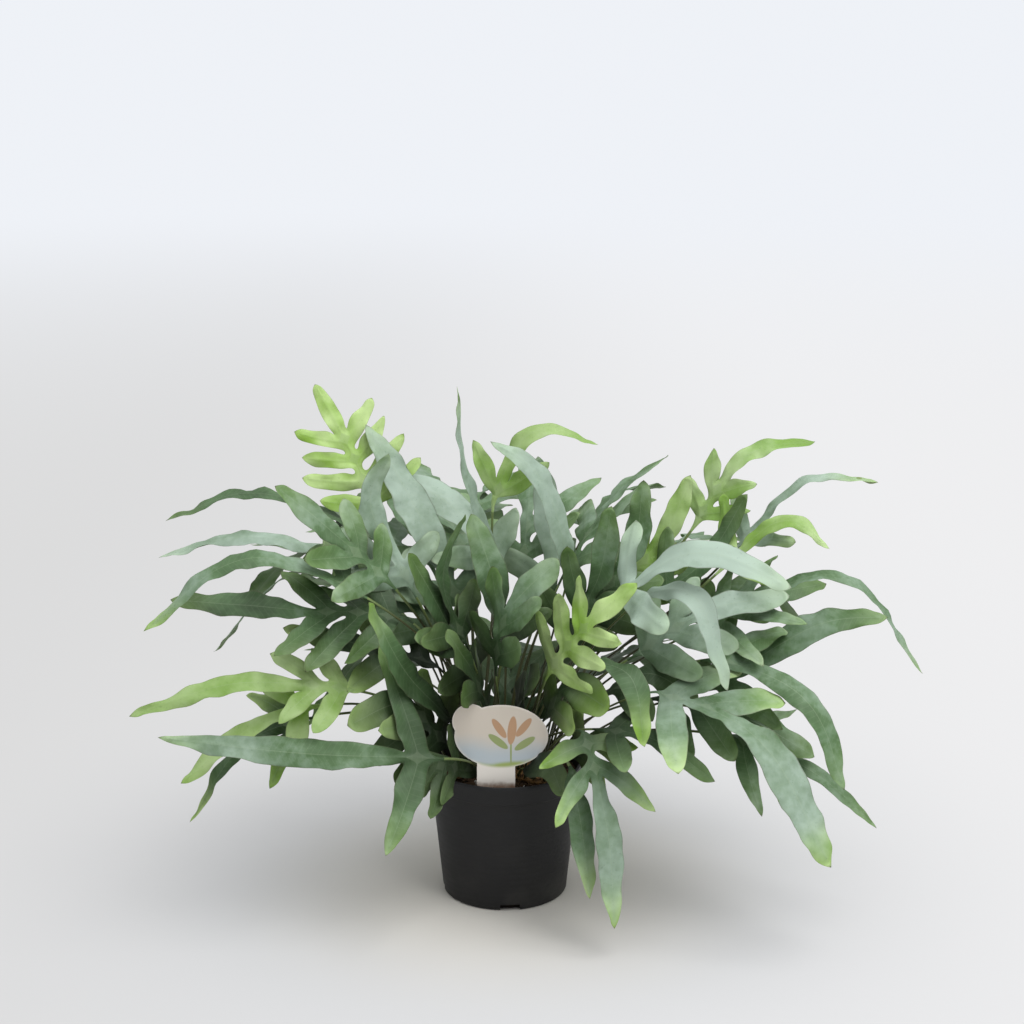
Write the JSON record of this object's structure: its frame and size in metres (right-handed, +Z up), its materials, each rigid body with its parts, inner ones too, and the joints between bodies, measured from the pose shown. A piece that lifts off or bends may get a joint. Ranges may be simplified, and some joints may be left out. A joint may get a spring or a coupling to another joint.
{
  "type": "potted blue star fern",
  "caption": "Blue star fern with glaucous strap-shaped and lobed fronds growing from a creeping rhizome in a round tapering nursery pot, with a plain plant tag",
  "frame": {"origin": "centre of the pot's underside, on the surface that the pot stands on", "axes": "+Z up, -Y towards the front, where the tag's face looks, +X to the right seen from the front"},
  "size_m": [0.731, 0.5047, 0.5],
  "materials": {
    "pot": "satin",
    "soil": "matte",
    "rhizome": "matte",
    "tag": "satin",
    "blade_mature": "satin",
    "blade_young": "satin"
  },
  "bodies": {
    "root": {"frond_back_high_1": "blade_mature", "frond_back_high_2": "blade_mature", "frond_back_high_3": "blade_mature", "frond_back_inner_1": "blade_mature", "frond_back_inner_2": "blade_mature", "frond_back_low_1": "blade_mature", "frond_back_low_2": "blade_mature", "frond_back_wide_1": "blade_mature", "frond_back_wide_2": "blade_mature", "frond_back_wide_3": "blade_mature", "frond_back_wide_4": "blade_mature", "frond_back_wide_5": "blade_mature", "frond_centre_left_tall": "blade_mature", "frond_centre_low_left": "blade_mature", "frond_centre_pale": "blade_mature", "frond_centre_right_round": "blade_mature", "frond_centre_top_dark": "blade_mature", "frond_centre_top_grey": "blade_mature", "frond_front_left_rim": "blade_mature", "frond_front_right_hang": "blade_mature", "frond_front_right_rim": "blade_mature", "frond_front_rim_right": "blade_mature", "frond_left_band": "blade_mature", "frond_left_blue_top": "blade_mature", "frond_left_broad_top": "blade_mature", "frond_left_dark_arch": "blade_mature", "frond_left_dark_low": "blade_mature", "frond_left_great_low": "blade_mature", "frond_left_grey_rise": "blade_mature", "frond_left_lime_behind": "blade_young", "frond_left_long_arch": "blade_mature", "frond_left_pale_round": "blade_mature", "frond_left_thin_grey": "blade_mature", "frond_lime_fan": "blade_young", "frond_lime_front": "blade_young", "frond_lime_low": "blade_young", "frond_right_blue": "blade_mature", "frond_right_broad": "blade_mature", "frond_right_droop": "blade_mature", "frond_right_great_hang": "blade_mature", "frond_right_green": "blade_mature", "frond_right_inner_lime": "blade_young", "frond_right_inner_round": "blade_mature", "frond_right_inner_tall": "blade_mature", "frond_right_lime_arch": "blade_young", "frond_right_long_arch": "blade_mature", "frond_right_low_broad": "blade_mature", "frond_right_low_wavy": "blade_mature", "frond_right_pale_wave": "blade_mature", "frond_right_thin_arch": "blade_mature", "frond_right_top_arch": "blade_young", "frond_top_green_arch": "blade_young", "frond_top_pale_spear": "blade_mature", "frond_top_thread": "blade_mature", "frond_top_wide_grey": "blade_mature", "pot": "pot", "rhizome": "rhizome", "soil": "soil", "tag": "tag"}
  },
  "joints": []
}
